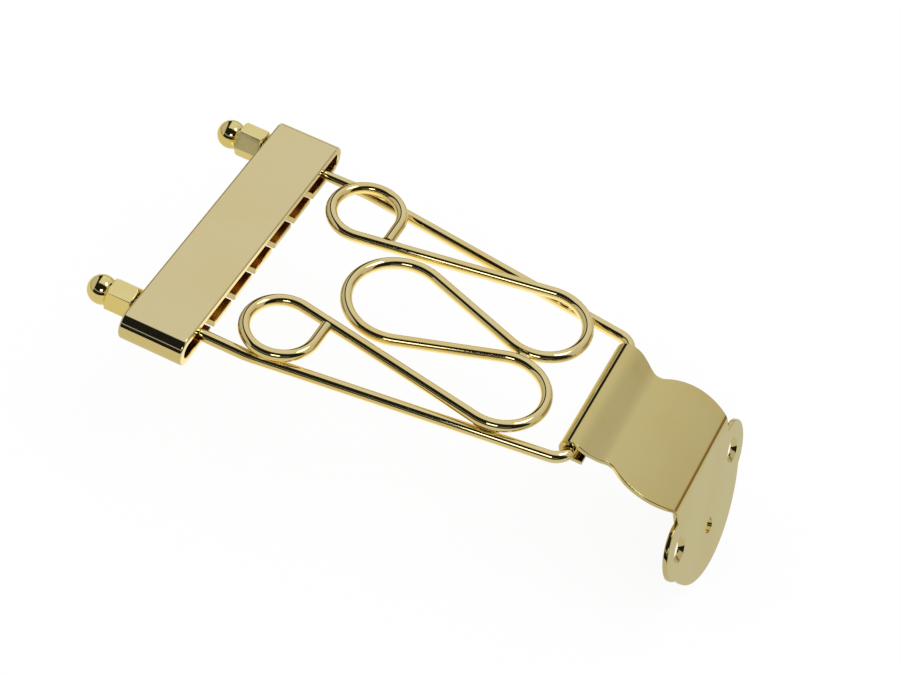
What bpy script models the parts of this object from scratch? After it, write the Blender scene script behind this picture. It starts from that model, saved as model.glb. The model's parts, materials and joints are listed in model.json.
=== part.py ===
"""Wire trapeze tailpiece for an archtop guitar.

Lengths are in metres and angles in radians. +X points from the mounting bracket to the bridge, +Z up, and
+Y to the bass side. The world origin is on the inner face of the bracket's flange, which seats on the end
of the guitar, midway between its two ear holes. Every piece is drawn in the hinge frame, whose origin is
the middle of the hinge axis, and is then placed by an empty on that axis.
"""

import math

import bmesh
import bpy
from mathutils import Matrix, Vector

# Fits between pieces
TOUCH_GAP = 0.0003
HINGE_CLEARANCE = 0.0003
ROD_CLEARANCE = 0.0003
CUT_MARGIN = 0.0010

# Wire of the frame and of the scroll
WIRE_DIAMETER = 0.0030

# Frame wire: half its width at the hinge, its corners, and the rods that it ends in
FRAME_HINGE_HALF_WIDTH = 0.0218
FRAME_CORNER_RADIUS = 0.0045
ROD_FROM_BAR_END = 0.0097
ROD_BEND_FROM_BAR = 0.0128
ROD_BEND_RADIUS = 0.0200

# Scroll wire: bend radii of its centre line, and where the bends lie from the hinge axis
END_LOOP_RADIUS = 0.0090
END_LOOP_FROM_HINGE = 0.0753
HINGE_BEND_RADIUS = 0.0110
HINGE_BEND_FROM_HINGE = 0.0212
CENTRE_BEND_RADIUS = 0.0129
CENTRE_BEND_FROM_HINGE = 0.0550

# String bar: a thick strip wrapped into a flat tube with one open long side
BAR_FROM_HINGE = 0.0920
BAR_DEPTH = 0.0173
BAR_LENGTH = 0.0842
BAR_SHEET = 0.0020
BAR_GAP = 0.0044
BAR_END_RADIUS = 0.0041
BAR_EDGE_RADIUS = 0.0006
BAR_INNER_RADIUS = 0.0005
STRING_COUNT = 6
STRING_PITCH = 0.0104
SLOT_WIDTH = 0.0020
SLOT_DEPTH = 0.0060

# Adjusting nuts: a hexagon with a ball end
NUT_ACROSS_FLATS = 0.0079
NUT_HEX_LENGTH = 0.0068
NUT_BAR_CHAMFER = 0.0009
NUT_BALL_CHAMFER = 0.0005
NUT_BALL_DIAMETER = 0.0075
NUT_BALL_STEP = 0.0028
NUT_BORE_DEPTH = 0.0082
ROD_END_IN_NUT = 0.0058
BASS_NUT_TURN = math.radians(12)
TREBLE_NUT_TURN = math.radians(53)

# Bracket sheet: the curl round the hinge wire, the shaped plate and the bend into the flange
BRACKET_SHEET = 0.0013
CURL_TAIL = 0.0035
SHOULDER_RADIUS = 0.0050
SHOULDER_SLOPE = math.radians(33)
SLOPE_LENGTH = 0.0042
VALLEY_RADIUS = 0.0060
PLATE_FIRST_SLOPE = math.radians(6)
PLATE_RADIUS = 0.0760
PLATE_LAST_SLOPE = math.radians(20)
FLANGE_BEND_RADIUS = 0.0020
FLANGE_LEAN = math.radians(17)

# Bracket outline seen from above: square at the hinge, a waist, then a belly
HINGE_HALF_WIDTH = 0.0183
HINGE_CORNER_RADIUS = 0.0070
HINGE_CORNER_FROM_HINGE = 0.0020
WAIST_HALF_WIDTH = 0.0159
WAIST_RADIUS = 0.0030
WAIST_FROM_HINGE = 0.0093
BELLY_HALF_WIDTH = 0.0194
BELLY_RADIUS = 0.0150
BELLY_FROM_HINGE = 0.0200

# Flange outline: two ears and a round lobe, with drops measured down from the end of the bend
EAR_SPACING = 0.0360
EAR_DROP = 0.0109
EAR_RADIUS = 0.0079
LOBE_DROP = 0.0084
LOBE_INSIDE_EARS = 0.0027728
SCREW_HOLE_DIAMETER = 0.0045
COUNTERSINK_DIAMETER = 0.0063
COUNTERSINK_DEPTH = 0.0009
PIN_HOLE_DIAMETER = 0.0040
PIN_HOLE_DROP = 0.0200

# Fineness of round shapes
ARC_STEP = math.radians(9)
WIRE_SIDES_RESOLUTION = 4
CYLINDER_SIDES = 32
BEVEL_SEGMENTS = 3
END_SEGMENTS = 10

GOLD = (0.83, 0.68, 0.34, 1.0)
GOLD_ROUGHNESS = 0.12

WIRE_RADIUS = WIRE_DIAMETER / 2
BAR_DROP = BAR_GAP / 2 - WIRE_RADIUS - ROD_CLEARANCE
BAR_HEIGHT = BAR_GAP + 2 * BAR_SHEET
BAR_BACK = BAR_FROM_HINGE + BAR_DEPTH
ROD_SIDE = BAR_LENGTH / 2 - ROD_FROM_BAR_END
ROD_BEND_FROM_HINGE = BAR_FROM_HINGE - ROD_BEND_FROM_BAR
ROD_HOLE_RADIUS = WIRE_RADIUS + ROD_CLEARANCE
CURL_RADIUS = WIRE_RADIUS + HINGE_CLEARANCE + BRACKET_SHEET / 2
SCROLL_HEIGHT = WIRE_DIAMETER + TOUCH_GAP
HINGE_BEND_SIDE = HINGE_BEND_RADIUS + WIRE_RADIUS + TOUCH_GAP / 2
LOBE_RADIUS = math.hypot(EAR_SPACING / 2, EAR_DROP - LOBE_DROP) + EAR_RADIUS - LOBE_INSIDE_EARS


def clear_scene():
    for item in list(bpy.data.objects):
        bpy.data.objects.remove(item, do_unlink=True)


def new_collection(name):
    group = bpy.data.collections.new(name)
    bpy.context.scene.collection.children.link(group)
    return group


def gold(name):
    """A polished gold plating, one material for each piece."""
    finish = bpy.data.materials.new(name)
    finish.use_nodes = True
    shader = finish.node_tree.nodes["Principled BSDF"]
    shader.inputs["Base Color"].default_value = GOLD
    shader.inputs["Metallic"].default_value = 1.0
    shader.inputs["Roughness"].default_value = GOLD_ROUGHNESS
    return finish


def arc(centre, radius, start, sweep, step=ARC_STEP):
    """Points on an arc, both ends included, from the angle start through the angle sweep."""
    count = max(1, math.ceil(abs(sweep) / step))
    points = []
    for i in range(count + 1):
        angle = start + sweep * i / count
        points.append((centre[0] + radius * math.cos(angle), centre[1] + radius * math.sin(angle)))
    return points


def join_points(points):
    """The same points without those that repeat the one before."""
    kept = [points[0]]
    for point in points[1:]:
        if math.dist(point, kept[-1]) > 1e-7:
            kept.append(point)
    return kept


def follow(start, heading, moves):
    """A line of straight runs (length, 0) and arcs (radius, turn), with the pose where it ends."""
    x, y = start
    points = [start]
    for size, turn in moves:
        if turn == 0:
            x += size * math.cos(heading)
            y += size * math.sin(heading)
            points.append((x, y))
            continue
        side = math.copysign(1, turn)
        centre = (x - side * size * math.sin(heading), y + side * size * math.cos(heading))
        points += arc(centre, size, heading - side * math.pi / 2, turn)
        x, y = points[-1]
        heading += turn
    return join_points(points), (x, y), heading


def rounded_line(corners, radii):
    """A line through the corners, with an arc of its own radius at each inner corner."""
    points = [corners[0]]
    for before, corner, after, radius in zip(corners, corners[1:], corners[2:], radii):
        into = (Vector(corner) - Vector(before)).normalized()
        out = (Vector(after) - Vector(corner)).normalized()
        turn = math.atan2(into.x * out.y - into.y * out.x, into.dot(out))
        side = math.copysign(1, turn)
        begin = Vector(corner) - into * radius * math.tan(abs(turn) / 2)
        centre = begin + side * radius * Vector((-into.y, into.x))
        heading = math.atan2(into.y, into.x)
        points += arc(centre, radius, heading - side * math.pi / 2, turn)
    points.append(corners[-1])
    return join_points(points)


def tangent_line(turns, first_angle, last_angle):
    """A line round circles (centre, radius, side) joined by straight tangents.

    side is 1 where the line goes round its circle counter-clockwise and -1 where it goes clockwise. The
    line starts on the first circle at first_angle and ends on the last at last_angle.
    """
    arrive = [first_angle]
    leave = []
    for (c1, r1, s1), (c2, r2, s2) in zip(turns, turns[1:]):
        span = Vector(c2) - Vector(c1)
        heading = math.atan2(span.y, span.x) - math.asin((s2 * r2 - s1 * r1) / span.length)
        leave.append(heading - s1 * math.pi / 2)
        arrive.append(heading - s2 * math.pi / 2)
    leave.append(last_angle)
    points = []
    for (centre, radius, side), begin, end in zip(turns, arrive, leave):
        sweep = (side * (end - begin)) % (2 * math.pi)
        points += arc(centre, radius, begin, side * sweep)
    return join_points(points)


def link(item, group, finish=None):
    group.objects.link(item)
    if finish:
        item.data.materials.append(finish)
    return item


def wire(name, line, height, group, finish):
    """A round wire along a plan line at one height."""
    curve = bpy.data.curves.new(name, "CURVE")
    curve.dimensions = "3D"
    curve.bevel_depth = WIRE_RADIUS
    curve.bevel_resolution = WIRE_SIDES_RESOLUTION
    curve.use_fill_caps = True
    spline = curve.splines.new("POLY")
    spline.points.add(len(line) - 1)
    for point, (x, y) in zip(spline.points, line):
        point.co = (x, y, height, 1)
    spline.use_smooth = True
    return link(bpy.data.objects.new(name, curve), group, finish)


def prism(name, outline, depth, group):
    """A closed flat outline made solid, half its depth to each side of its plane."""
    curve = bpy.data.curves.new(name, "CURVE")
    curve.dimensions = "2D"
    curve.fill_mode = "BOTH"
    curve.extrude = depth / 2
    spline = curve.splines.new("POLY")
    spline.points.add(len(outline) - 1)
    for point, (x, y) in zip(spline.points, outline):
        point.co = (x, y, 0, 1)
    spline.use_cyclic_u = True
    flat = link(bpy.data.objects.new(name + "_outline", curve), group)
    mesh = bpy.data.meshes.new_from_object(flat.evaluated_get(bpy.context.evaluated_depsgraph_get()))
    bpy.data.objects.remove(flat)
    shape = bmesh.new()
    shape.from_mesh(mesh)
    bmesh.ops.remove_doubles(shape, verts=shape.verts, dist=1e-6)
    bmesh.ops.recalc_face_normals(shape, faces=shape.faces)
    shape.to_mesh(mesh)
    shape.free()
    return link(bpy.data.objects.new(name, mesh), group)


def solid(name, shape, group, finish=None):
    """An object of its own from a bmesh."""
    bmesh.ops.recalc_face_normals(shape, faces=shape.faces)
    mesh = bpy.data.meshes.new(name)
    shape.to_mesh(mesh)
    shape.free()
    return link(bpy.data.objects.new(name, mesh), group, finish)


def cylinder(name, radius, length, group, top_radius=None):
    """A cylinder or cone along its own Z, from zero up."""
    shape = bmesh.new()
    bmesh.ops.create_cone(
        shape, cap_ends=True, segments=CYLINDER_SIDES, radius1=radius,
        radius2=radius if top_radius is None else top_radius, depth=length,
    )
    bmesh.ops.translate(shape, verts=shape.verts, vec=(0, 0, length / 2))
    return solid(name, shape, group)


def round_ended_box(name, size, end_radius, edge_radius, group, finish=None):
    """A box whose four edges along X are rounded, and then the rims of its two X faces."""
    shape = bmesh.new()
    bmesh.ops.create_cube(shape, size=1)
    bmesh.ops.scale(shape, verts=shape.verts, vec=size)
    along = [e for e in shape.edges if abs(e.verts[0].co.x - e.verts[1].co.x) > size[0] / 2]
    bmesh.ops.bevel(
        shape, geom=along, offset=end_radius, offset_type="OFFSET", segments=END_SEGMENTS, profile=0.5,
        affect="EDGES", clamp_overlap=False,
    )
    if edge_radius:
        rims = [e for e in shape.edges if abs(e.verts[0].co.x - e.verts[1].co.x) < 1e-6]
        bmesh.ops.bevel(
            shape, geom=rims, offset=edge_radius, offset_type="OFFSET", segments=BEVEL_SEGMENTS,
            profile=0.5, affect="EDGES", clamp_overlap=False,
        )
    return solid(name, shape, group, finish)


def divide(item, places):
    """Rings of edges round a mesh at these places along Y, so that no flat face runs on past them."""
    shape = bmesh.new()
    shape.from_mesh(item.data)
    for y in places:
        everything = shape.verts[:] + shape.edges[:] + shape.faces[:]
        bmesh.ops.bisect_plane(shape, geom=everything, plane_co=(0, y, 0), plane_no=(0, 1, 0))
    shape.to_mesh(item.data)
    shape.free()


def cut(item, cutter, operation="DIFFERENCE"):
    cutter.hide_render = True
    cutter.display_type = "WIRE"
    modifier = item.modifiers.new(cutter.name, "BOOLEAN")
    modifier.operation = operation
    modifier.object = cutter


def smooth(item, angle=math.radians(30)):
    item.data.shade_smooth()
    item.data.set_sharp_from_angle(angle=angle)


def place(item, parent, location=(0, 0, 0), rotation=(0, 0, 0)):
    item.parent = parent
    item.location = location
    item.rotation_euler = rotation


def bracket_profile():
    """The bracket sheet's centre line in the XZ plane, with the pose where the flange starts."""
    top = (0, CURL_RADIUS)
    curl, _, _ = follow(top, 0, [(CURL_RADIUS, -math.pi), (CURL_TAIL, 0)])
    plate, flange_top, heading = follow(top, math.pi, [
        (SHOULDER_RADIUS, SHOULDER_SLOPE),
        (SLOPE_LENGTH, 0),
        (VALLEY_RADIUS, PLATE_FIRST_SLOPE - SHOULDER_SLOPE),
        (PLATE_RADIUS, PLATE_LAST_SLOPE - PLATE_FIRST_SLOPE),
        (FLANGE_BEND_RADIUS, math.pi / 2 - FLANGE_LEAN - PLATE_LAST_SLOPE),
    ])
    return curl[::-1] + plate[1:], flange_top, heading


def flange_point(flange_top, heading, drop, outward):
    """A point at a drop down the flange and a distance out from the middle of its sheet."""
    x = flange_top[0] + drop * math.cos(heading) + outward * math.sin(heading)
    z = flange_top[1] + drop * math.sin(heading) - outward * math.cos(heading)
    return Vector((x, 0, z))


def flange_matrix(flange_top, heading):
    """From the flange's own plane, X along the hinge, Y down and Z out, to the hinge frame."""
    down = Vector((math.cos(heading), 0, math.sin(heading)))
    out = Vector((math.sin(heading), 0, -math.cos(heading)))
    turn = Matrix((Vector((0, 1, 0)), down, out)).transposed().to_4x4()
    return Matrix.Translation((flange_top[0], 0, flange_top[1])) @ turn


def plate_side(end_x):
    """The bass edge of the plate from above, from the hinge to the bend at end_x."""
    corner = (-HINGE_CORNER_FROM_HINGE, HINGE_HALF_WIDTH - HINGE_CORNER_RADIUS)
    waist = (-WAIST_FROM_HINGE, WAIST_HALF_WIDTH + WAIST_RADIUS)
    belly = (-BELLY_FROM_HINGE, BELLY_HALF_WIDTH - BELLY_RADIUS)
    last = math.acos((end_x - belly[0]) / BELLY_RADIUS)
    turns = [(corner, HINGE_CORNER_RADIUS, 1), (waist, WAIST_RADIUS, -1), (belly, BELLY_RADIUS, 1)]
    return tangent_line(turns, math.pi / 2, last)


def flange_edge(neck):
    """The edge of the flange in its own plane, from the bass side of the neck to the treble side."""
    ear = Vector((EAR_SPACING / 2, EAR_DROP))
    lobe = Vector((0, LOBE_DROP))
    span = ear - lobe
    along = (span.length_squared + LOBE_RADIUS**2 - EAR_RADIUS**2) / (2 * span.length)
    across = math.sqrt(LOBE_RADIUS**2 - along**2)
    unit = span.normalized()
    notch = lobe + unit * along + Vector((-unit.y, unit.x)) * across
    ear_start = -math.acos((neck - ear.x) / EAR_RADIUS)
    ear_end = math.atan2(notch.y - ear.y, notch.x - ear.x)
    lobe_start = math.atan2(notch.y - lobe.y, notch.x - lobe.x)
    bass_ear = arc(ear, EAR_RADIUS, ear_start, ear_end - ear_start)
    bottom = arc(lobe, LOBE_RADIUS, lobe_start, math.pi - 2 * lobe_start)
    treble_ear = [(-y, drop) for y, drop in reversed(bass_ear)]
    return join_points(bass_ear + bottom + treble_ear)


def make_bracket(group, cutters, hinge):
    """One sheet: curled round the hinge wire, shaped, bent down and cut to its outline."""
    profile, flange_top, heading = bracket_profile()
    flange_end = LOBE_DROP + LOBE_RADIUS + CUT_MARGIN
    bottom = flange_point(flange_top, heading, flange_end, 0)
    half = LOBE_RADIUS + EAR_SPACING / 2
    shape = bmesh.new()
    line = [shape.verts.new((x, -half, z)) for x, z in profile + [(bottom.x, bottom.z)]]
    runs = [shape.edges.new(pair) for pair in zip(line, line[1:])]
    strip = bmesh.ops.extrude_edge_only(shape, edges=runs)["geom"]
    moved = [v for v in strip if isinstance(v, bmesh.types.BMVert)]
    bmesh.ops.translate(shape, verts=moved, vec=(0, 2 * half, 0))
    bracket = solid("mounting_bracket", shape, group, gold("bracket_gold"))
    thickness = bracket.modifiers.new("sheet", "SOLIDIFY")
    thickness.thickness = BRACKET_SHEET
    thickness.offset = 0
    thickness.use_even_offset = True

    side = plate_side(flange_top[0])
    neck = side[-1][1]
    front = CURL_RADIUS + BRACKET_SHEET / 2 + CUT_MARGIN
    back = flange_top[0] - 3 * CUT_MARGIN
    wide = half + CUT_MARGIN
    plate_bottom = flange_top[1] - 2 * CUT_MARGIN
    plate_top = front + CUT_MARGIN
    outline = [(front, wide), (front, HINGE_HALF_WIDTH)] + side + [(back, neck), (back, wide)]
    for name, sign in (("bass_plate_cut", 1), ("treble_plate_cut", -1)):
        points = [(x, sign * y) for x, y in outline]
        cutter = prism(name, points, plate_top - plate_bottom, cutters)
        place(cutter, hinge, (0, 0, (plate_top + plate_bottom) / 2))
        cut(bracket, cutter)

    edge = [(neck, CUT_MARGIN)] + flange_edge(neck) + [(-neck, CUT_MARGIN)]
    low = flange_end + CUT_MARGIN
    surround = edge + [(-wide, CUT_MARGIN), (-wide, low), (wide, low), (wide, CUT_MARGIN)]
    flange_cut = prism("flange_cut", surround, 2 * BRACKET_SHEET + 2 * CUT_MARGIN, cutters)
    flange = flange_matrix(flange_top, heading)
    flange_cut.parent = hinge
    flange_cut.matrix_local = flange
    cut(bracket, flange_cut)

    out_face = BRACKET_SHEET / 2
    holes = [
        ("bass_screw_hole", EAR_SPACING / 2, EAR_DROP, SCREW_HOLE_DIAMETER),
        ("treble_screw_hole", -EAR_SPACING / 2, EAR_DROP, SCREW_HOLE_DIAMETER),
        ("end_pin_hole", 0, PIN_HOLE_DROP, PIN_HOLE_DIAMETER),
    ]
    for name, across, drop, diameter in holes:
        drill = cylinder(name, diameter / 2, 2 * BRACKET_SHEET, cutters)
        drill.parent = hinge
        drill.matrix_local = flange @ Matrix.Translation((across, drop, -BRACKET_SHEET))
        cut(bracket, drill)
    taper = (COUNTERSINK_DIAMETER - SCREW_HOLE_DIAMETER) / 2 / COUNTERSINK_DEPTH
    for name, across in (("bass_countersink", EAR_SPACING / 2), ("treble_countersink", -EAR_SPACING / 2)):
        depth = COUNTERSINK_DEPTH + CUT_MARGIN
        wide_radius = COUNTERSINK_DIAMETER / 2 + taper * CUT_MARGIN
        sink = cylinder(name, SCREW_HOLE_DIAMETER / 2, depth, cutters, wide_radius)
        sink.parent = hinge
        base = Matrix.Translation((across, EAR_DROP, out_face - COUNTERSINK_DEPTH))
        sink.matrix_local = flange @ base
        cut(bracket, sink)
    smooth(bracket)
    bracket.parent = hinge
    return bracket


def make_frame_wire(group, hinge):
    """The load-carrying wire: through the hinge curl and out to two rods that pass through the bar."""
    rod_end = BAR_BACK + TOUCH_GAP + ROD_END_IN_NUT
    corners = [
        (rod_end, ROD_SIDE), (ROD_BEND_FROM_HINGE, ROD_SIDE), (0, FRAME_HINGE_HALF_WIDTH),
        (0, -FRAME_HINGE_HALF_WIDTH), (ROD_BEND_FROM_HINGE, -ROD_SIDE), (rod_end, -ROD_SIDE),
    ]
    radii = [ROD_BEND_RADIUS, FRAME_CORNER_RADIUS, FRAME_CORNER_RADIUS, ROD_BEND_RADIUS]
    frame = wire("frame_wire", rounded_line(corners, radii), 0, group, gold("frame_wire_gold"))
    place(frame, hinge)


def frame_side(x):
    """How far the frame wire's arm lies from the middle at a distance from the hinge."""
    return FRAME_HINGE_HALF_WIDTH + (ROD_SIDE - FRAME_HINGE_HALF_WIDTH) * x / ROD_BEND_FROM_HINGE


def make_scroll_wire(group, hinge):
    """The ornamental wire, one length: a loop, three bends and a second loop, brazed on the frame.

    Each loop comes round to its own leg and ends there, square to the middle line and just short of it.
    """
    loop_y = frame_side(END_LOOP_FROM_HINGE) - END_LOOP_RADIUS
    turns = [
        ((END_LOOP_FROM_HINGE, loop_y), END_LOOP_RADIUS, -1),
        ((HINGE_BEND_FROM_HINGE, HINGE_BEND_SIDE), HINGE_BEND_RADIUS, 1),
        ((CENTRE_BEND_FROM_HINGE, 0), CENTRE_BEND_RADIUS, -1),
        ((HINGE_BEND_FROM_HINGE, -HINGE_BEND_SIDE), HINGE_BEND_RADIUS, 1),
        ((END_LOOP_FROM_HINGE, -loop_y), END_LOOP_RADIUS, -1),
    ]
    span = Vector(turns[1][0]) - Vector(turns[0][0])
    leg = math.atan2(span.y, span.x) - math.asin((HINGE_BEND_RADIUS + END_LOOP_RADIUS) / span.length)
    leg_x = END_LOOP_FROM_HINGE + END_LOOP_RADIUS * math.cos(leg + math.pi / 2)
    leg_y = loop_y + END_LOOP_RADIUS * math.sin(leg + math.pi / 2)
    end_x = END_LOOP_FROM_HINGE - END_LOOP_RADIUS
    end_y = leg_y + (end_x - WIRE_RADIUS - leg_x) * math.tan(leg) - (WIRE_RADIUS + TOUCH_GAP) / math.cos(leg)
    line = [(end_x, end_y)] + tangent_line(turns, math.pi, -math.pi) + [(end_x, -end_y)]
    scroll = wire("scroll_wire", line, SCROLL_HEIGHT, group, gold("scroll_wire_gold"))
    place(scroll, hinge)


def make_string_bar(group, cutters, hinge):
    """The bar that anchors the strings, open towards the hinge, with a slot for each string.

    The floor of its hollow, where the ends of the strings sit, is a face of its own between the rods.
    """
    size = (BAR_DEPTH, BAR_LENGTH, BAR_HEIGHT)
    bar = round_ended_box("string_bar", size, BAR_END_RADIUS, BAR_EDGE_RADIUS, group, gold("bar_gold"))
    place(bar, hinge, (BAR_FROM_HINGE + BAR_DEPTH / 2, 0, -BAR_DROP))
    front = -BAR_DEPTH / 2
    hollow_depth = BAR_DEPTH - BAR_SHEET
    hollow_size = (hollow_depth + CUT_MARGIN, BAR_LENGTH - 2 * BAR_SHEET, BAR_GAP)
    inner_end = BAR_END_RADIUS - BAR_SHEET
    hollow = round_ended_box("bar_hollow", hollow_size, inner_end, BAR_INNER_RADIUS, cutters)
    between_rods = ROD_SIDE - WIRE_DIAMETER
    divide(hollow, (-between_rods, between_rods))
    place(hollow, bar, (front + (hollow_depth - CUT_MARGIN) / 2, 0, 0))
    cut(bar, hollow)
    radius = SLOT_WIDTH / 2
    mouth = front - CUT_MARGIN
    bottom = front + SLOT_DEPTH - radius
    slot_outline = [(mouth, radius), (mouth, -radius)]
    slot_outline += arc((bottom, 0), radius, -math.pi / 2, math.pi)
    for i in range(STRING_COUNT):
        slot = prism(f"string_slot_{i + 1}", slot_outline, BAR_SHEET + CUT_MARGIN + BAR_GAP / 2, cutters)
        across = (i - (STRING_COUNT - 1) / 2) * STRING_PITCH
        place(slot, bar, (0, across, -(BAR_HEIGHT / 2 + CUT_MARGIN) / 2))
        cut(bar, slot)
    for name, sign in (("bass_rod_hole", 1), ("treble_rod_hole", -1)):
        hole = cylinder(name, ROD_HOLE_RADIUS, BAR_SHEET + 2 * CUT_MARGIN, cutters)
        start = BAR_DEPTH / 2 - BAR_SHEET - CUT_MARGIN
        place(hole, bar, (start, sign * ROD_SIDE, BAR_DROP), (0, math.pi / 2, 0))
        cut(bar, hole)
    smooth(bar)
    return bar


def nut_mesh(cutters):
    """A hexagon chamfered at both ends, joined to a ball, with a blind thread hole. It lies along Z."""
    flat_radius = NUT_ACROSS_FLATS / 2
    corner_radius = flat_radius / math.cos(math.pi / 6)
    shape = bmesh.new()
    bmesh.ops.create_cone(
        shape, cap_ends=True, segments=6, radius1=corner_radius, radius2=corner_radius, depth=NUT_HEX_LENGTH
    )
    bmesh.ops.translate(shape, verts=shape.verts, vec=(0, 0, NUT_HEX_LENGTH / 2))
    nut = solid("nut_blank", shape, cutters)

    rim = corner_radius + CUT_MARGIN
    profile = [
        (0, NUT_HEX_LENGTH),
        (rim - NUT_BALL_CHAMFER - CUT_MARGIN, NUT_HEX_LENGTH),
        (rim, NUT_HEX_LENGTH - (NUT_BALL_CHAMFER + CUT_MARGIN) * math.tan(math.pi / 6)),
        (rim, (NUT_BAR_CHAMFER + CUT_MARGIN) * math.tan(math.pi / 6)),
        (rim - NUT_BAR_CHAMFER - CUT_MARGIN, 0),
        (0, 0),
    ]
    turned = bmesh.new()
    verts = [turned.verts.new((x, 0, z)) for x, z in profile]
    for pair in zip(verts, verts[1:]):
        turned.edges.new(pair)
    envelope = solid("nut_chamfers", turned, cutters)
    screw = envelope.modifiers.new("turn", "SCREW")
    screw.steps = CYLINDER_SIDES
    screw.render_steps = CYLINDER_SIDES
    screw.use_merge_vertices = True
    screw.merge_threshold = 1e-6
    cut(nut, envelope, "INTERSECT")

    ball = bmesh.new()
    bmesh.ops.create_uvsphere(ball, u_segments=CYLINDER_SIDES, v_segments=20, radius=NUT_BALL_DIAMETER / 2)
    bmesh.ops.translate(ball, verts=ball.verts, vec=(0, 0, NUT_HEX_LENGTH + NUT_BALL_STEP))
    cut(nut, solid("nut_ball", ball, cutters), "UNION")

    bore = cylinder("nut_bore", ROD_HOLE_RADIUS, NUT_BORE_DEPTH + CUT_MARGIN, cutters)
    bore.location.z = -CUT_MARGIN
    cut(nut, bore)
    bpy.context.view_layer.update()
    mesh = bpy.data.meshes.new_from_object(nut.evaluated_get(bpy.context.evaluated_depsgraph_get()))
    mesh.name = "adjusting_nut"
    bpy.data.objects.remove(nut)
    mesh.shade_smooth()
    mesh.set_sharp_from_angle(angle=math.radians(25))
    return mesh


def make_nuts(group, cutters, bar):
    """The two nuts that pull the bar along the rods. They share one mesh."""
    mesh = nut_mesh(cutters)
    mesh.materials.append(gold("nut_gold"))
    seat = BAR_DEPTH / 2 + TOUCH_GAP
    for name, side, turn in (("bass_nut", 1, BASS_NUT_TURN), ("treble_nut", -1, TREBLE_NUT_TURN)):
        nut = bpy.data.objects.new(name, mesh)
        group.objects.link(nut)
        nut.parent = bar
        lay = Matrix.Rotation(-turn, 4, "X") @ Matrix.Rotation(math.pi / 2, 4, "Y")
        nut.matrix_local = Matrix.Translation((seat, side * ROD_SIDE, BAR_DROP)) @ lay


def main():
    clear_scene()
    group = new_collection("trapeze_tailpiece")
    cutters = new_collection("cutters")
    _, flange_top, heading = bracket_profile()
    seat = flange_point(flange_top, heading, EAR_DROP, -BRACKET_SHEET / 2)
    hinge = bpy.data.objects.new("hinge_axis", None)
    hinge.location = -seat
    group.objects.link(hinge)
    make_bracket(group, cutters, hinge)
    make_frame_wire(group, hinge)
    make_scroll_wire(group, hinge)
    bar = make_string_bar(group, cutters, hinge)
    make_nuts(group, cutters, bar)
    print("hinge axis", [round(value, 6) for value in hinge.location])


main()
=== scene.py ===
import json
import math

import bmesh
import bpy
from mathutils import Matrix, Vector


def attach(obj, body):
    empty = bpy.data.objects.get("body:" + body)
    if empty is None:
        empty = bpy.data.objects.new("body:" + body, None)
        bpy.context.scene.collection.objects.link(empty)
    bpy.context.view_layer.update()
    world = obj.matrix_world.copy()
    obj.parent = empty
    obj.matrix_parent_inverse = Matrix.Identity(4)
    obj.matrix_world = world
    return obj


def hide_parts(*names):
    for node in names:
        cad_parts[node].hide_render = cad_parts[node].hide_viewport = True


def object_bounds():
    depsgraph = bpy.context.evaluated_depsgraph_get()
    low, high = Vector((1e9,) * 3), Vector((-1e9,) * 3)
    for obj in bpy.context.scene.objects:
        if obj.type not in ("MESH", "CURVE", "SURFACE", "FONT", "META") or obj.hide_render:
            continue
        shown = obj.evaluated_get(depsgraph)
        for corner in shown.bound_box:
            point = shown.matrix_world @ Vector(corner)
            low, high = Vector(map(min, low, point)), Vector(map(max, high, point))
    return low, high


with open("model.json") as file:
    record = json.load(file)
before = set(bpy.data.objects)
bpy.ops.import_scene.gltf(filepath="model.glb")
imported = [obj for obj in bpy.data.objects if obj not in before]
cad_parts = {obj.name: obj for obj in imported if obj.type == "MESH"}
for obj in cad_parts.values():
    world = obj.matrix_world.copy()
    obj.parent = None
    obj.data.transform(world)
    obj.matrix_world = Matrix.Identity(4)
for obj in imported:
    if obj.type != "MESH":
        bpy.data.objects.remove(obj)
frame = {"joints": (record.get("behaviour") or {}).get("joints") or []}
cad_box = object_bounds()

# Camera. It looks down past the near corner of the string bar, as in the photograph. The long lens stands
# about 0.6 m away, so the far side of the part is drawn hardly smaller than the near side.
lens = bpy.data.cameras.new("camera")
lens.sensor_width = 36.0
lens.lens = 96.88
camera = bpy.data.objects.new("camera", lens)
bpy.context.scene.collection.objects.link(camera)
right = Vector((-0.89507, -0.42650, 0.13019)).normalized()
forward = Vector((0.19980, -0.64470, -0.73787)).normalized()
up = right.cross(forward)
camera.matrix_world = Matrix.Translation((-0.0476, 0.3826, 0.4544)) @ Matrix(
    (right, up, -forward)
).transposed().to_4x4()
bpy.context.scene.camera = camera
bpy.context.scene.view_settings.view_transform = "Standard"


# Studio. White paper lies under the part. A soft white wall stands behind it and a dimmer one beyond the
# string bar, with a warm dark gap beyond the bracket. The side where the camera stands is dark apart from
# two soft boxes and a narrow white strip, which is what draws the black stripes on the polished gold.
class Signal:
    """A number that varies from place to place. Arithmetic on it adds Math nodes."""

    def __init__(self, nodes, socket):
        self.nodes = nodes
        self.socket = socket

    def combine(self, operation, first, second):
        made = self.nodes.add("Math", {"operation": operation}, {0: first, 1: second})
        return Signal(self.nodes, made.outputs[0])

    def __add__(self, other):
        return self.combine("ADD", self, other)

    def __radd__(self, other):
        return self.combine("ADD", other, self)

    def __sub__(self, other):
        return self.combine("SUBTRACT", self, other)

    def __rsub__(self, other):
        return self.combine("SUBTRACT", other, self)

    def __mul__(self, other):
        return self.combine("MULTIPLY", self, other)

    def __rmul__(self, other):
        return self.combine("MULTIPLY", other, self)

    def fade(self, start, end):
        """Softly from 0 where the number is start to 1 where it is end."""
        ends = {"From Min": start, "From Max": end}
        made = self.nodes.add("MapRange", {"interpolation_type": "SMOOTHSTEP"}, {"Value": self, **ends})
        return Signal(self.nodes, made.outputs["Result"])


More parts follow.
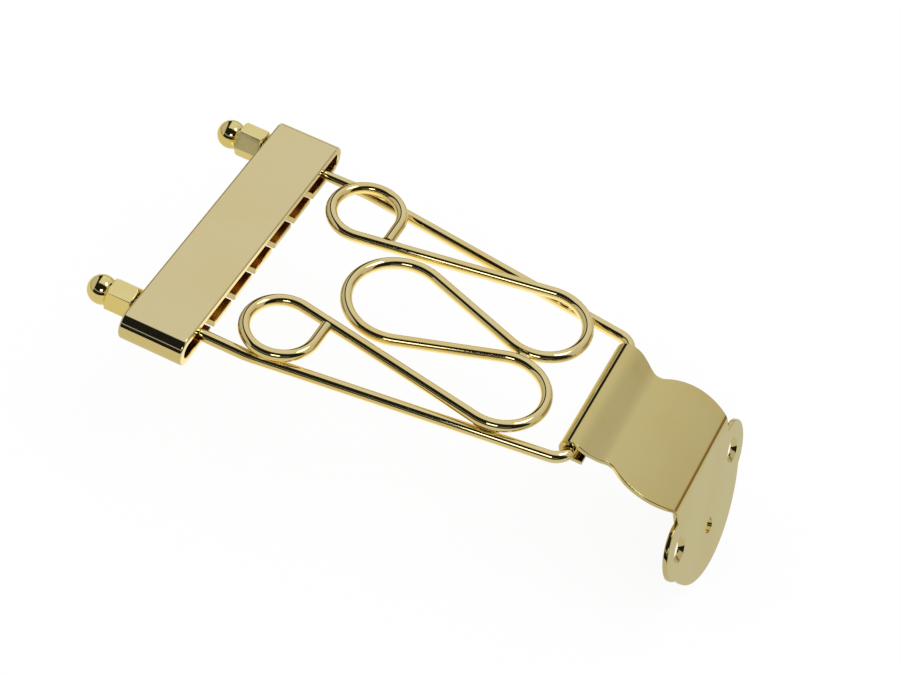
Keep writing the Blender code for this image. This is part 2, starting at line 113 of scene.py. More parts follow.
class Nodes:
    """The nodes of one material, or of the world."""

    def __init__(self, tree):
        self.tree = tree
        tree.nodes.clear()

    def add(self, kind, settings=None, sockets=None):
        """A node of a type: first its settings, then the values or links of its sockets."""
        made = self.tree.nodes.new("ShaderNode" + kind)
        for name, value in (settings or {}).items():
            setattr(made, name, value)
        for name, value in (sockets or {}).items():
            value = value.socket if isinstance(value, Signal) else value
            if isinstance(value, bpy.types.NodeSocket):
                self.tree.links.new(value, made.inputs[name])
            else:
                made.inputs[name].default_value = value
        return made

    def signal(self, made, output=0):
        return Signal(self, made.outputs[output])

    def axes(self, vector):
        made = self.add("SeparateXYZ", {}, {0: vector})
        return [Signal(self, socket) for socket in made.outputs]


wall_light = 0.74
wall_shade = 0.14
side_light = 0.55
strip_light = 0.42
dark_room = 0.012
plain_white = (1, 1, 1, 1)
gap_colour = (0.52, 0.33, 0.13, 1)
table_edge = (0.03, 0.09)
wall_top, wall_right, wall_dims = (0.10, 0.0), (0.50, 0.44), (0.1, -0.7)
side_edge = (0.66, 0.70)
strip_low, strip_high, strip_ends = (0.36, 0.38), (0.46, 0.44), (0.55, 0.65)
gap_right, gap_top, gap_front = (-0.50, -0.60), (0.42, 0.34), (-0.30, -0.45)
world = bpy.data.worlds.new("studio")
bpy.context.scene.world = world
world.use_nodes = True
sky = Nodes(world.node_tree)
x, y, z = sky.axes(sky.add("TexCoord").outputs["Generated"])
above_table = z.fade(*table_edge)
wall = y.fade(*wall_top) * x.fade(*wall_right) * above_table
wall_level = wall_light - wall_shade * x.fade(*wall_dims)
side = x.fade(*side_edge) * above_table
strip = z.fade(*strip_low) * z.fade(*strip_high) * y.fade(*strip_ends)
seen_in_metal = dark_room + wall * wall_level + side * side_light + strip * strip_light
gap = x.fade(*gap_right) * z.fade(*gap_top) * y.fade(*gap_front)
rays = sky.add("LightPath")
is_glossy = sky.signal(rays, "Is Glossy Ray")
light = is_glossy * seen_in_metal + (1 - is_glossy)
tint = sky.add("Mix", {"data_type": "RGBA"}, {0: gap * is_glossy, 6: plain_white, 7: gap_colour})
backdrop = sky.add("Background", {}, {"Color": tint.outputs[2], "Strength": light})
sky.add("OutputWorld", {}, {"Surface": backdrop.outputs[0]})

floor_size = 6.0
paper_white = (0.9, 0.9, 0.9, 1)
paper_in_metal = (0.70, 0.71, 0.67, 1)
# Painted light on the paper as the metal sees it: a warm painted bounce, where the gold throws its light
# back.
painted_bounce_in_metal = (0.72, 0.67, 0.48, 1)
# A painted pool of light, brighter than white, round one point of the paper, seen only in the metal.
painted_light_pool_in_metal = (1.20, 1.12, 0.88, 1)
painted_pool_x, painted_pool_y, painted_pool_inner, painted_pool_outer = 0.078, 0.0, 0.040, 0.056
painted_bounce_start, painted_bounce_end = 0.03, 0.09
paper_glow = 0.91
bpy.ops.object.select_all(action="DESELECT")
bpy.ops.mesh.primitive_plane_add(size=floor_size, location=(0, 0, cad_box[0][2]))
floor = bpy.context.active_object
floor.name = "paper_floor"
paper = bpy.data.materials.new("white_paper")
paper.use_nodes = True
sheet = Nodes(paper.node_tree)


def blend(share, first, second):
    """A shader that is the first where the share is 0 and the second where it is 1."""
    return sheet.add("MixShader", {}, {0: share, 1: first.outputs[0], 2: second.outputs[0]})


rays = sheet.add("LightPath")
matt = sheet.add("BsdfDiffuse", {}, {"Color": paper_white})
white_glow, cool_glow, painted_bounce_glow, painted_light_pool_glow = (
    sheet.add("Emission", {}, {"Color": colour, "Strength": 1.0})
    for colour in (plain_white, paper_in_metal, painted_bounce_in_metal, painted_light_pool_in_metal)
)
x, y = sheet.axes(sheet.add("TexCoord").outputs["Object"])[:2]
along, across = x - painted_pool_x, y - painted_pool_y
# Where the painted pool of light lies on the paper.
painted_light_pool = (along * along + across * across).fade(painted_pool_outer**2, painted_pool_inner**2)
# In the metal the paper is plain, then warmer with the painted bounce of the gold's light, with the painted
# pool of light on top.
in_metal = blend(painted_light_pool, blend(x.fade(painted_bounce_start, painted_bounce_end), cool_glow, painted_bounce_glow), painted_light_pool_glow)
to_camera = blend(sheet.signal(rays, "Is Camera Ray") * paper_glow, matt, white_glow)
seen = blend(sheet.signal(rays, "Is Glossy Ray"), to_camera, in_metal)
sheet.add("OutputMaterial", {}, {"Surface": seen.outputs[0]})
floor.data.materials.append(paper)

part_middle = (Vector(cad_box[0]) + Vector(cad_box[1])) / 2
lamp_distance = 0.9
lamps = {
    "soft_box_by_camera": ((-0.174, 0.749, 0.642), 0.27, 0.20, 0.60),
    "soft_box_overhead": ((-0.307, -0.241, 0.920), 0.32, 0.20, 0.75),
}
for name, (toward, width, depth, power) in lamps.items():
    lamp = bpy.data.lights.new(name, "AREA")
    lamp.shape = "RECTANGLE"
    lamp.size = width
    lamp.size_y = depth
    lamp.energy = power
    stand = bpy.data.objects.new(name, lamp)
    bpy.context.scene.collection.objects.link(stand)
    toward = Vector(toward).normalized()
    turned_to = toward.to_track_quat("Z", "Y").to_matrix().to_4x4()
    stand.matrix_world = Matrix.Translation(part_middle + lamp_distance * toward) @ turned_to


# Mounting bracket. One brass sheet: curled round the hinge wire, pressed to a low shoulder and a shallow
# valley, bent down into the flange, blanked to two ears and a round lobe, then polished and gold plated.
def add_piece(name, add, **where):
    """A primitive on its own, at the origin with its place in its mesh, open for editing."""
    bpy.ops.object.select_all(action="DESELECT")
    add(**where)
    piece = bpy.context.active_object
    piece.name = name
    piece.data.name = name
    bpy.ops.object.transform_apply(location=True, rotation=True, scale=True)
    bpy.ops.object.mode_set(mode="EDIT")
    bpy.ops.mesh.select_all(action="SELECT")
    return piece


def select_edges(piece, wanted):
    """Select only the edges that pass a test of their two ends."""
    bpy.ops.mesh.select_mode(type="EDGE")
    bpy.ops.mesh.select_all(action="DESELECT")
    shape = bmesh.from_edit_mesh(piece.data)
    for edge in shape.edges:
        edge.select_set(wanted(*(v.co for v in edge.verts)))
    shape.select_flush_mode()
    bmesh.update_edit_mesh(piece.data)


def finish_mesh(merge=1e-7):
    """Close the seams, turn the faces outwards and leave edit mode."""
    bpy.ops.mesh.select_mode(type="VERT")
    bpy.ops.mesh.select_all(action="SELECT")
    bpy.ops.mesh.remove_doubles(threshold=merge)
    bpy.ops.mesh.normals_make_consistent(inside=False)
    bpy.ops.object.mode_set(mode="OBJECT")


def pick(*pieces):
    """Select these pieces alone and make the last one active."""
    bpy.ops.object.select_all(action="DESELECT")
    for piece in pieces:
        piece.select_set(True)
    bpy.context.view_layer.objects.active = pieces[-1]


def apply_modifier(piece, kind, **settings):
    """Put a modifier with these settings on a piece and apply it."""
    pick(piece)
    modifier = piece.modifiers.new(kind.lower(), kind)
    for name, value in settings.items():
        setattr(modifier, name, value)
    bpy.ops.object.modifier_apply(modifier=modifier.name)


def carve(piece, tool, operation="DIFFERENCE"):
    """Cut a piece with a tool, or join the tool to it, and throw the tool away."""
    apply_modifier(piece, "BOOLEAN", object=tool, operation=operation, solver="EXACT")
    bpy.data.objects.remove(tool)


def shade(piece, angle=math.radians(32)):
    """Smooth shading that keeps flat faces flat and edges past the angle sharp."""
    pick(piece)
    bpy.ops.object.shade_smooth_by_angle(angle=angle)
    apply_modifier(piece, "WEIGHTED_NORMAL", keep_sharp=True, weight=100)


class Bender:
    """Draws the selected end of a piece along a path, straight or round a peg, as wire and strip are bent."""

    def __init__(self, place, heading, axis):
        self.place = Vector(place)
        self.heading = Vector(heading)
        self.axis = Vector(axis)

    def straight(self, length):
        """Draw the end straight on."""
        step = self.heading * length
        bpy.ops.mesh.extrude_region_move(TRANSFORM_OT_translate={"value": step})
        self.place += step

    def bend(self, radius, turn, step=math.radians(4)):
        """Draw the end round a peg on its left, or on its right for a negative turn."""
        side = math.copysign(1, turn)
        centre = self.place + side * radius * self.axis.cross(self.heading)
        count = max(1, math.ceil(abs(turn) / step))
        bpy.ops.mesh.spin(steps=count, angle=-turn, center=centre, axis=self.axis)
        rotation = Matrix.Rotation(turn, 3, self.axis)
        self.place = centre + rotation @ (self.place - centre)
        self.heading = rotation @ self.heading


def turned(name, profile, sides=64):
    """A round piece along its own Z, drawn up from a disc through (height, radius) after (height, radius)."""
    height, radius = profile[0]
    piece = add_piece(
        name, bpy.ops.mesh.primitive_circle_add, vertices=sides, radius=radius, fill_type="NGON",
        location=(0, 0, height),
    )
    for next_height, next_radius in profile[1:]:
        rise = (0, 0, next_height - height)
        bpy.ops.mesh.extrude_region_move(TRANSFORM_OT_translate={"value": rise})
        grow = next_radius / radius
        bpy.ops.transform.resize(value=(grow, grow, 1), center_override=(0, 0, next_height))
        height, radius = next_height, next_radius
    finish_mesh(merge=1e-9)
    return piece


def gold_plate(name, slot, colour, warm_colour, roughness, grain, hollow=None):
    """Polished gold plate: faint warm patches, a slight orange peel and hair-fine polishing marks.

    A hollow is a low corner, a high corner, the depth over which the finish changes, and two colours. In it
    the plate is dull and painted darker and redder, going from the one colour to the other.
    """
    finish = bpy.data.materials.new(name)
    finish.use_nodes = True
    nodes = Nodes(finish.node_tree)
    place = nodes.add("TexCoord").outputs["Object"]
    patches = nodes.signal(nodes.add("TexNoise", {}, {"Vector": place, "Scale": 60.0, "Detail": 3.0}))
    specks = nodes.signal(nodes.add("TexNoise", {}, {"Vector": place, "Scale": 900.0, "Detail": 2.0}))
    along = nodes.add("Mapping", {}, {"Vector": place, "Scale": grain}).outputs[0]
    marks = nodes.signal(nodes.add("TexNoise", {}, {"Vector": along, "Scale": 1.0, "Detail": 4.0}))
    tint = nodes.add(
        "Mix", {"data_type": "RGBA"}, {0: patches.fade(0.35, 0.75), 6: colour, 7: warm_colour}
    )
    rough = roughness + 0.05 * patches.fade(0.45, 0.8) + 0.04 * marks.fade(0.5, 0.75)
    if hollow:
        low_corner, high_corner, depth, hollow_colour, patch_colour = hollow
        inside = 1
        for position, low, high in zip(nodes.axes(place), low_corner, high_corner):
            inside = position.fade(low, low + depth) * position.fade(high, high - depth) * inside
        # Inside the hollow the colour is painted darker and redder than the gold outside.
        hollow_tint = nodes.add(
            "Mix", {"data_type": "RGBA"}, {0: patches.fade(0.4, 0.6), 6: hollow_colour, 7: patch_colour}
        )
        tint = nodes.add(
            "Mix", {"data_type": "RGBA"}, {0: inside, 6: tint.outputs[2], 7: hollow_tint.outputs[2]}
        )
        rough = rough + 0.30 * inside
    relief = 0.5 * patches + 0.12 * specks + 0.08 * marks
    bump = nodes.add("Bump", {}, {"Strength": 0.05, "Distance": 0.0004, "Height": relief})
    shader = nodes.add("BsdfPrincipled", {}, {
        "Base Color": tint.outputs[2], "Metallic": 1.0, "Roughness": rough, "Normal": bump.outputs[0],
    })
    nodes.add("OutputMaterial", {}, {"Surface": shader.outputs[0]})
    return finish, slot


def dress(piece, body, finish_and_slot, *nodes):
    """Give a piece its finish, let it ride on a body and stand for CAD nodes."""
    finish, slot = finish_and_slot
    piece.data.materials.clear()
    piece.data.materials.append(finish)
    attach(piece, body)
    if nodes:
        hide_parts(*nodes)


joints = {joint["name"]: joint for joint in frame["joints"]}
hinge = Vector(joints["trapeze_hinge"]["pos_m"])
wire_radius = 0.0015
sheet_thickness = 0.0013
sheet_edge = 0.00028
hinge_clearance = 0.0003
curl_radius = wire_radius + hinge_clearance + sheet_thickness / 2
curl_tail = 0.0035
hinge_half_width = 0.0183
plate_edge = [
    ((-0.0020, 0.0113), 0.0070, 1),
    ((-0.0093, 0.0189), 0.0030, -1),
    ((-0.0200, 0.0044), 0.0150, 1),
]


def tangent_heading(first, second):
    """The heading of a line that leaves one round (centre, radius, side) and meets the next."""
    (start, radius, side), (end, next_radius, next_side) = first, second
    span = Vector(end) - Vector(start)
    return math.atan2(span.y, span.x) - math.asin((next_side * next_radius - side * radius) / span.length)


def touch_point(turn, heading):
    """Where a line of this heading touches a round."""
    centre, radius, side = turn
    angle = heading - side * math.pi / 2
    return Vector(centre) + radius * Vector((math.cos(angle), math.sin(angle)))


def round_edge(turn, x):
    """How far out a round of the plate's edge lies at a distance behind the hinge axis."""
    centre, radius, side = turn
    return centre[1] + side * math.sqrt(radius**2 - (x - centre[0]) ** 2)


def half_width(x):
    """Half the plate's width at a distance behind the hinge axis: round corner, waist, then belly."""
    if x > plate_edge[0][0][0]:
        return hinge_half_width
    for first, second in zip(plate_edge, plate_edge[1:]):
        heading = tangent_heading(first, second)
        leave, meet = touch_point(first, heading), touch_point(second, heading)
        if x > leave.x:
            return round_edge(first, x)
        if x > meet.x:
            return leave.y + (x - leave.x) * math.tan(heading)
    return round_edge(plate_edge[-1], x)


tail_end = hinge + Vector((-curl_tail, 0, -curl_radius))
bracket = add_piece(
    "polished_bracket", bpy.ops.mesh.primitive_plane_add, size=1, location=tail_end,
    rotation=(0, math.pi / 2, 0),
)
flat_size = (1, 2 * hinge_half_width, sheet_thickness)
bpy.ops.transform.resize(value=flat_size, center_override=tail_end)
bpy.ops.mesh.bevel(offset=sheet_edge, segments=4, affect="VERTICES", clamp_overlap=False)
strip = Bender(tail_end, (1, 0, 0), (0, -1, 0))
strip.straight(curl_tail)
strip.bend(curl_radius, math.pi)
width = hinge_half_width
# Shoulder, slope, valley, belly and the bend to the flange: each has a radius or length, a turn, and the
# number of steps that it is drawn in.
shaping = [
    (0.0050, math.radians(33), 16),
    (0.0042, 0, 14),
    (0.0060, math.radians(-27), 16),
    (0.0760, math.radians(14), 44),
    (0.0020, math.radians(53), 18),
]
for size, turn, count in shaping:
    for _ in range(count):
        if turn:
            strip.bend(size, turn / count)
        else:
            strip.straight(size / count)
        next_width = half_width(strip.place.x - hinge.x)
        bpy.ops.transform.resize(value=(1, next_width / width, 1), center_override=(0, 0, 0))
        width = next_width
finish_mesh()

ear_side, ear_drop, ear_radius = 0.0180, 0.0109, 0.0079
lobe_drop, lobe_radius = 0.0084, 0.0233
down = strip.heading
to_guitar = down.cross(Vector((0, 1, 0)))
flange_top = strip.place
neck = width


def on_flange(across, drop, behind=0.0):
    """A point across and down the flange, and behind the middle of its sheet, towards the guitar."""
    return flange_top + Vector((0, across, 0)) + drop * down + behind * to_guitar


def span_angle(centre, start, end):
    """How far on start has to turn round a centre to reach end, in the flange's plane."""
    first = math.atan2(start[1] - centre[1], start[0] - centre[0])
    last = math.atan2(end[1] - centre[1], end[0] - centre[0])
    return (last - first) % math.tau


ear, lobe = Vector((ear_side, ear_drop)), Vector((0, lobe_drop))
reach = ear - lobe
along = (reach.length_squared + lobe_radius**2 - ear_radius**2) / (2 * reach.length)
unit = reach.normalized()
notch = lobe + unit * along + Vector((-unit.y, unit.x)) * math.sqrt(lobe_radius**2 - along**2)
ear_start = Vector((neck, ear_drop - math.sqrt(ear_radius**2 - (neck - ear_side) ** 2)))
mirror = Vector((-1, 1))
flange = add_piece(
    "flange", bpy.ops.mesh.primitive_plane_add, size=0.001,
    location=on_flange(neck, 0, sheet_thickness / 2),
)
bpy.ops.mesh.merge(type="CENTER")
bpy.ops.mesh.select_mode(type="VERT")
bpy.ops.mesh.extrude_region_move(TRANSFORM_OT_translate={"value": ear_start.y * down})
for centre, start, end in (
    (ear, ear_start, notch),
    (lobe, notch, notch * mirror),
    (ear * mirror, notch * mirror, ear_start * mirror),
):
    angle = span_angle(centre, start, end)
    count = math.ceil(angle / math.radians(3))
    pivot = on_flange(centre.x, centre.y, sheet_thickness / 2)
    bpy.ops.mesh.spin(steps=count, angle=angle, center=pivot, axis=to_guitar)
bpy.ops.mesh.extrude_region_move(TRANSFORM_OT_translate={"value": -ear_start.y * down})
bpy.ops.mesh.select_all(action="SELECT")
bpy.ops.mesh.remove_doubles(threshold=1e-6)
bpy.ops.mesh.edge_face_add()
bpy.ops.mesh.extrude_region_move(TRANSFORM_OT_translate={"value": -sheet_thickness * to_guitar})


def on_rim(first, second):
    """True for the edges round both faces of the flange, and not for those at its top."""
    across_sheet = abs((second - first).dot(to_guitar)) > sheet_thickness / 2
    drops = [(point - flange_top).dot(down) for point in (first, second)]
    return not across_sheet and max(drops) > 1e-5


select_edges(flange, on_rim)
bpy.ops.mesh.bevel(offset=sheet_edge, segments=4, affect="EDGES", clamp_overlap=False)
finish_mesh()

screw_hole, countersink, sink_depth = 0.00225, 0.00315, 0.0009
pin_hole, pin_drop = 0.0020, 0.0200
past = 0.002
hole_rounding, sink_rounding = 0.00015, 0.00020
face = sheet_thickness / 2
sink_rim, pin_rim = countersink + sink_rounding, pin_hole + hole_rounding
drill_turn = Matrix((-down, Vector((0, 1, 0)), -to_guitar)).transposed().to_4x4()
sunk = [
    (-past, screw_hole), (face - sink_depth, screw_hole), (face - sink_rounding, countersink),
    (face, sink_rim), (past, sink_rim),
]
plain = [
    (-past, pin_rim), (-face, pin_rim), (hole_rounding - face, pin_hole),
    (face - hole_rounding, pin_hole), (face, pin_rim), (past, pin_rim),
]
for across, drop, profile in ((ear_side, ear_drop, sunk), (-ear_side, ear_drop, sunk), (0, pin_drop, plain)):
    drill = turned("drill", profile)
    drill.data.transform(Matrix.Translation(on_flange(across, drop)) @ drill_turn)
    carve(flange, drill)

pick(flange, bracket)
bpy.ops.object.join()
shade(bracket)
bracket_gold = gold_plate(
    "bracket_gold_plate", "bracket_gold", (0.70, 0.585, 0.265, 1), (0.69, 0.56, 0.225, 1), 0.07, (90, 700, 90)
)
dress(bracket, "bracket", bracket_gold, "mounting_bracket")


# Frame wire. One hard brass rod, bent to a trapeze whose short side is the hinge axle. Its two arms run out
# to the string bar, where their threaded ends pass through the bar's back and take the nuts.
touch_gap = 0.0003
bar_from_hinge, bar_depth = 0.0920, 0.0173
rod_side, rod_bend_x, rod_bend_radius = 0.0324, 0.0792, 0.0200
axle_half_width, corner_radius = 0.0218, 0.0045
rod_in_nut, plain_in_bar = 0.0058, 0.0035
rod_end = bar_from_hinge + bar_depth + touch_gap + rod_in_nut
thread_start = bar_from_hinge + plain_in_bar
pitch = 0.0005
thread_depth = 0.61 * pitch
thread_root = wire_radius - thread_depth
rod_bend_step = math.radians(0.6)
splay = math.atan2(rod_side - axle_half_width, rod_bend_x)
corner_turn = math.pi / 2 - splay


def round_section(name, place, heading, radius, sides=32):
    """The end of a wire: a disc square to the way that it will be drawn."""
    return add_piece(
        name, bpy.ops.mesh.primitive_circle_add, vertices=sides, radius=radius, fill_type="NGON",
        location=place, rotation=heading.to_track_quat("Z", "Y").to_euler(),
    )


def swell(bender, factor):
    """Make the selected end wider or narrower round its own middle."""
    bpy.ops.transform.resize(value=(factor, factor, factor), center_override=bender.place)


def draw_thread(bender):
    """The threaded end of an arm, drawn as one ridge for each turn, from a root to a root."""
    for _ in range(round((rod_end - thread_start) / pitch)):
        bender.straight(pitch / 2)
        swell(bender, wire_radius / thread_root)
        bender.straight(pitch / 2)
        swell(bender, thread_root / wire_radius)


start = hinge + Vector((rod_end, rod_side, 0))
frame_wire = round_section("polished_frame_wire", start, Vector((-1, 0, 0)), thread_root)
arm = Bender(start, (-1, 0, 0), (0, 0, 1))
draw_thread(arm)
swell(arm, wire_radius / thread_root)
plain_rod = arm.place.x - hinge.x - rod_bend_x - rod_bend_radius * math.tan(splay / 2)
side_run = (
    math.hypot(rod_bend_x, rod_side - axle_half_width)
    - rod_bend_radius * math.tan(splay / 2) - corner_radius * math.tan(corner_turn / 2)
)
axle_run = 2 * (axle_half_width - corner_radius * math.tan(corner_turn / 2))
arm.straight(plain_rod)
arm.bend(rod_bend_radius, splay, rod_bend_step)
arm.straight(side_run)
arm.bend(corner_radius, corner_turn)
arm.straight(axle_run)
arm.bend(corner_radius, corner_turn)
arm.straight(side_run)
arm.bend(rod_bend_radius, splay, rod_bend_step)
arm.straight(plain_rod)
swell(arm, thread_root / wire_radius)
draw_thread(arm)
finish_mesh()
shade(frame_wire, math.radians(40))
wire_colours = (0.86, 0.72, 0.36, 1), (0.85, 0.67, 0.28, 1)
wire_roughness = 0.05
wire_gold = gold_plate("wire_gold_plate", "wire_gold", *wire_colours, wire_roughness, (90, 700, 700))
dress(frame_wire, "trapeze", wire_gold, "frame_wire")


# Scroll wire. The ornament inside the trapeze is one length of the same wire, bent round pegs to a loop,
# three bends and a second loop. It lies on the frame wire, and is brazed to it and to itself where they
# touch.
scroll_height = 2 * wire_radius + touch_gap
loop_x, loop_radius = 0.0753, 0.0090
loop_y = axle_half_width + loop_x * math.tan(splay) - loop_radius
bend_x, bend_radius = 0.0212, 0.0110
bend_y = bend_radius + wire_radius + touch_gap / 2
middle_x, middle_radius = 0.0550, 0.0129
pegs = [
    ((loop_x, loop_y), loop_radius, -1),
    ((bend_x, bend_y), bend_radius, 1),
    ((middle_x, 0), middle_radius, -1),
    ((bend_x, -bend_y), bend_radius, 1),
    ((loop_x, -loop_y), loop_radius, -1),
]
leg_heading = tangent_heading(pegs[0], pegs[1])
leg_start = touch_point(pegs[0], leg_heading)
tail_x = loop_x - loop_radius
into_leg = 0.0003
leg_y = leg_start.y + (tail_x - leg_start.x) * math.tan(leg_heading)
tail_y = leg_y - (wire_radius - into_leg) / math.cos(leg_heading)
start = hinge + Vector((tail_x, tail_y, scroll_height))
scroll_wire = round_section("polished_scroll_wire", start, Vector((0, 1, 0)), wire_radius)
scroll = Bender(start, (0, 1, 0), (0, 0, 1))
scroll.straight(loop_y - tail_y)
headings = [tangent_heading(first, second) for first, second in zip(pegs, pegs[1:])] + [math.pi / 2]
for i, (peg, heading) in enumerate(zip(pegs, headings)):
    side = peg[2]
    now = math.atan2(scroll.heading.y, scroll.heading.x)
    scroll.bend(peg[1], side * ((side * (heading - now)) % math.tau))
    if i + 1 < len(pegs):
        scroll.straight((touch_point(pegs[i + 1], heading) - touch_point(peg, heading)).length)
scroll.straight(loop_y - tail_y)
finish_mesh()
shade(scroll_wire, math.radians(40))
scroll_gold = gold_plate("scroll_gold_plate", "wire_gold", *wire_colours, wire_roughness, (300, 300, 700))
dress(scroll_wire, "trapeze", scroll_gold, "scroll_wire")


# Braze. Where the wires touch, a little brass has run between them and drawn itself into a hollow neck. It
# holds the scroll's loops and side bends on the frame wire, and the two side bends to each other.
neck_radius, neck_flare, neck_half_height = 0.00075, 0.00062, 0.00085
neck_stretch = Matrix.Diagonal((2.6, 1, 1, 1))
past_bend = 0.0004
neck_profile = []
for i in range(17):
    level = i / 8 - 1
    neck_profile.append((level * neck_half_height, neck_radius + neck_flare * level**4))
side_x = bend_x - (bend_radius + past_bend) * math.sin(splay)
side_y = bend_y + (bend_radius + past_bend) * math.cos(splay)
contacts = []
for label, x, y in (("loop", loop_x, loop_y + loop_radius), ("bend", side_x, side_y)):
    for side in (1, -1):
        contacts.append((label, (x, side * y, scroll_height / 2), Matrix.Rotation(side * splay, 4, "Z")))
contacts.append(("middle", (bend_x, 0, scroll_height), Matrix.Rotation(-math.pi / 2, 4, "X")))
for i, (label, place, turn) in enumerate(contacts):
    neck_piece = turned(f"braze_{label}_{i + 1}", neck_profile, 32)
    neck_piece.data.transform(Matrix.Translation(hinge + Vector(place)) @ turn @ neck_stretch)
    shade(neck_piece)
    dress(neck_piece, "trapeze", wire_gold)


# String bar. A thick brass strip wrapped to a flat tube with round ends and one open side, which faces the
# hinge. Six slots in its lower plate take the strings, and two holes in its back take the rods.
def select_faces(piece, wanted):
    """Select only the faces that pass a test of their centre and normal."""
    bpy.ops.mesh.select_mode(type="FACE")
    bpy.ops.mesh.select_all(action="DESELECT")
    shape = bmesh.from_edit_mesh(piece.data)
    shape.normal_update()
    for face in shape.faces:
        face.select_set(wanted(face.calc_center_median(), face.normal))
    shape.select_flush_mode()
    bmesh.update_edit_mesh(piece.data)


bar_length, bar_sheet, bar_gap = 0.0842, 0.0020, 0.0044
bar_height = bar_gap + 2 * bar_sheet
bar_drop = bar_gap / 2 - wire_radius - touch_gap
end_radius, rim_radius, mouth_radius, floor_radius = 0.0041, 0.0006, 0.0002, 0.0005
bar_middle = hinge + Vector((bar_from_hinge + bar_depth / 2, 0, -bar_drop))
front = bar_middle.x - bar_depth / 2
bar = add_piece("polished_string_bar", bpy.ops.mesh.primitive_cube_add, size=1, location=bar_middle)
bpy.ops.transform.resize(value=(bar_depth, bar_length, bar_height), center_override=bar_middle)
select_edges(bar, lambda a, b: abs(a.x - b.x) > bar_depth / 2)
bpy.ops.mesh.bevel(offset=end_radius, segments=24, affect="EDGES", clamp_overlap=False)
select_edges(bar, lambda a, b: abs(a.x - b.x) < 1e-6)
bpy.ops.mesh.bevel(offset=rim_radius, segments=6, affect="EDGES", clamp_overlap=False)
select_faces(bar, lambda centre, normal: normal.x < -0.99 and abs(centre.x - front) < 1e-6)
bpy.ops.mesh.inset(thickness=bar_sheet - rim_radius - mouth_radius)
bpy.ops.mesh.inset(thickness=mouth_radius)
bpy.ops.transform.translate(value=(mouth_radius, 0, 0))
bpy.ops.mesh.extrude_region_move(
    TRANSFORM_OT_translate={"value": (bar_depth - bar_sheet - mouth_radius - floor_radius, 0, 0)}
)
floor_steps = 4
for i in range(floor_steps):
    last, angle = (step * math.pi / 2 / floor_steps for step in (i, i + 1))
    deeper = floor_radius * (math.sin(angle) - math.sin(last))
    bpy.ops.mesh.extrude_region_move(TRANSFORM_OT_translate={"value": (deeper, 0, 0)})
    bpy.ops.mesh.inset(thickness=floor_radius * (math.cos(last) - math.cos(angle)))
finish_mesh()

string_count, string_pitch = 6, 0.0104
slot_width, slot_depth = 0.0020, 0.0060
slot_length = slot_depth + past
for i in range(string_count):
    across = (i - (string_count - 1) / 2) * string_pitch
    slot_middle = Vector((front + slot_depth - slot_length / 2, across, bar_middle.z - bar_height / 2))
    saw = add_piece("saw", bpy.ops.mesh.primitive_cube_add, size=1, location=slot_middle)
    bpy.ops.transform.resize(value=(slot_length, slot_width, bar_height), center_override=slot_middle)
    select_edges(saw, lambda a, b: abs(a.z - b.z) > bar_height / 2 and a.x > slot_middle.x)
    bpy.ops.mesh.bevel(offset=slot_width / 2 - 1e-6, segments=12, affect="EDGES", clamp_overlap=False)
    finish_mesh()
    carve(bar, saw)

hole_radius = wire_radius + touch_gap
hole_rim = hole_radius + 2 * hole_rounding
back = bar_depth / 2
lay_flat = Matrix.Rotation(math.pi / 2, 4, "Y")
for side in (-1, 1):
    hole = turned("drill", [
        (back - bar_sheet - past / 2, hole_radius), (back - hole_rounding, hole_radius),
        (back + hole_rounding, hole_rim), (back + past, hole_rim),
    ])
    hole.data.transform(Matrix.Translation(bar_middle + Vector((0, side * rod_side, bar_drop))) @ lay_flat)
    carve(bar, hole)
shade(bar)
outer_skin, skin_fade = Vector((0.0014, 0.0012, 0.0010)), 0.0008
# The two colours painted inside the bar's hollow, darker and redder than its outside.
hollow_red, hollow_amber = (0.62, 0.23, 0.05, 1), (0.82, 0.47, 0.13, 1)
to_corner = Vector((bar_depth, bar_length, bar_height)) / 2 - outer_skin
hollow = bar_middle - to_corner, bar_middle + to_corner, skin_fade, hollow_red, hollow_amber
bar_gold = gold_plate(
    "bar_gold_plate", "bar_gold", (0.80, 0.69, 0.385, 1), (0.80, 0.67, 0.35, 1), 0.06, (700, 60, 700), hollow
)
dress(bar, "bar", bar_gold, "string_bar")


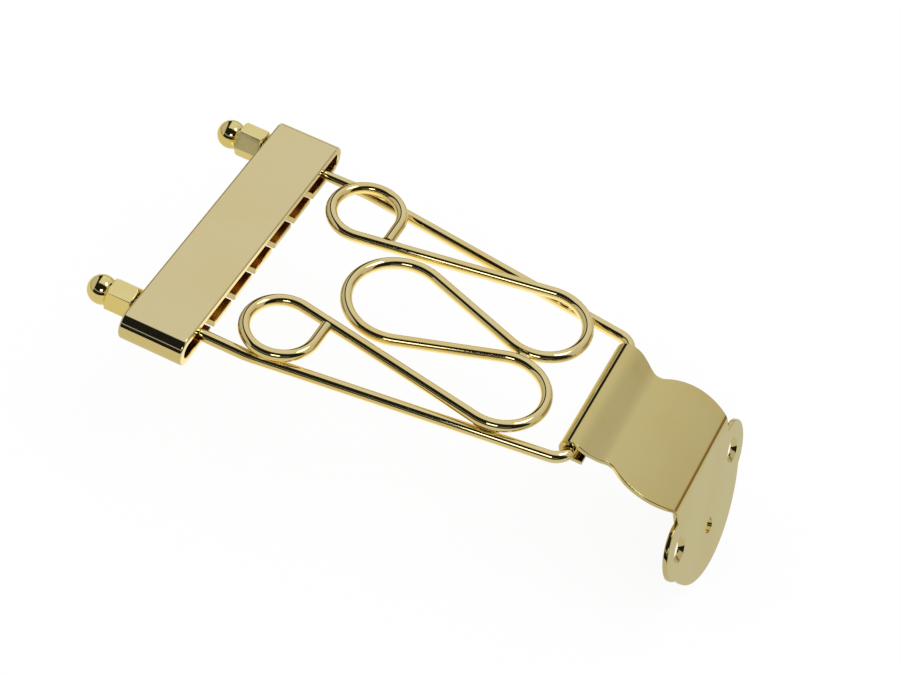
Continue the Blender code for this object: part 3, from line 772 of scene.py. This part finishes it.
# Adjusting nuts. Each is turned from hexagon bar: chamfered at both ends, with a blind thread from the bar
# side and a ball turned on the other end. They pull the string bar along the rods.
across_flats, hex_length = 0.0079, 0.0068
hex_corner = across_flats / 2 / math.cos(math.pi / 6)
bar_chamfer, ball_chamfer = 0.0009, 0.0005
ball_radius, ball_step = 0.00375, 0.0028
edge_rounding = 0.00012
slope = math.tan(math.pi / 6)
hexagon = add_piece(
    "nut", bpy.ops.mesh.primitive_cylinder_add, vertices=6, radius=hex_corner, depth=hex_length,
    location=(0, 0, hex_length / 2),
)
finish_mesh()
clear_of_corner, clear_of_end = 0.001, 1e-5
wide = hex_corner + clear_of_corner
chamfers = turned("chamfers", [
    (-clear_of_end, hex_corner - bar_chamfer), (bar_chamfer * slope, hex_corner),
    ((bar_chamfer + clear_of_corner) * slope, wide),
    (hex_length - (ball_chamfer + clear_of_corner) * slope, wide),
    (hex_length + clear_of_end, hex_corner - ball_chamfer),
], 96)
carve(hexagon, chamfers, "INTERSECT")
apply_modifier(
    hexagon, "BEVEL", width=edge_rounding, segments=3, limit_method="ANGLE",
    angle_limit=math.radians(20), use_clamp_overlap=False,
)
foot = math.acos(ball_step / ball_radius)
root_in_hexagon, ball_steps = 0.001, 40
ball_profile = [(hex_length - root_in_hexagon, ball_radius * math.sin(foot))]
for i in range(ball_steps + 1):
    angle = foot + (math.pi - foot) * i / ball_steps
    height = hex_length + ball_step - ball_radius * math.cos(angle)
    ball_profile.append((height, max(ball_radius * math.sin(angle), 1e-6)))
carve(hexagon, turned("ball", ball_profile, 64), "UNION")
bore_depth, bore_chamfer = 0.0082, 0.0004
bore_mouth = hole_radius + bore_chamfer
carve(hexagon, turned("drill", [
    (-past, bore_mouth), (0, bore_mouth), (bore_chamfer, hole_radius), (bore_depth, hole_radius),
]))
nut_gold = gold_plate(
    "nut_gold_plate", "nut_gold", (0.90, 0.77, 0.36, 1), (0.88, 0.71, 0.28, 1), 0.045, (700, 300, 300)
)
for name, turn in (("bass_nut", math.radians(12)), ("treble_nut", math.radians(53))):
    nut = hexagon.copy()
    nut.data = hexagon.data.copy()
    nut.name = f"polished_{name}"
    bpy.context.scene.collection.objects.link(nut)
    seat = Vector(joints[f"{name}_turn"]["pos_m"])
    nut.data.transform(Matrix.Translation(seat) @ Matrix.Rotation(-turn, 4, "X") @ lay_flat)
    shade(nut)
    dress(nut, name, nut_gold, name)
bpy.data.objects.remove(hexagon)
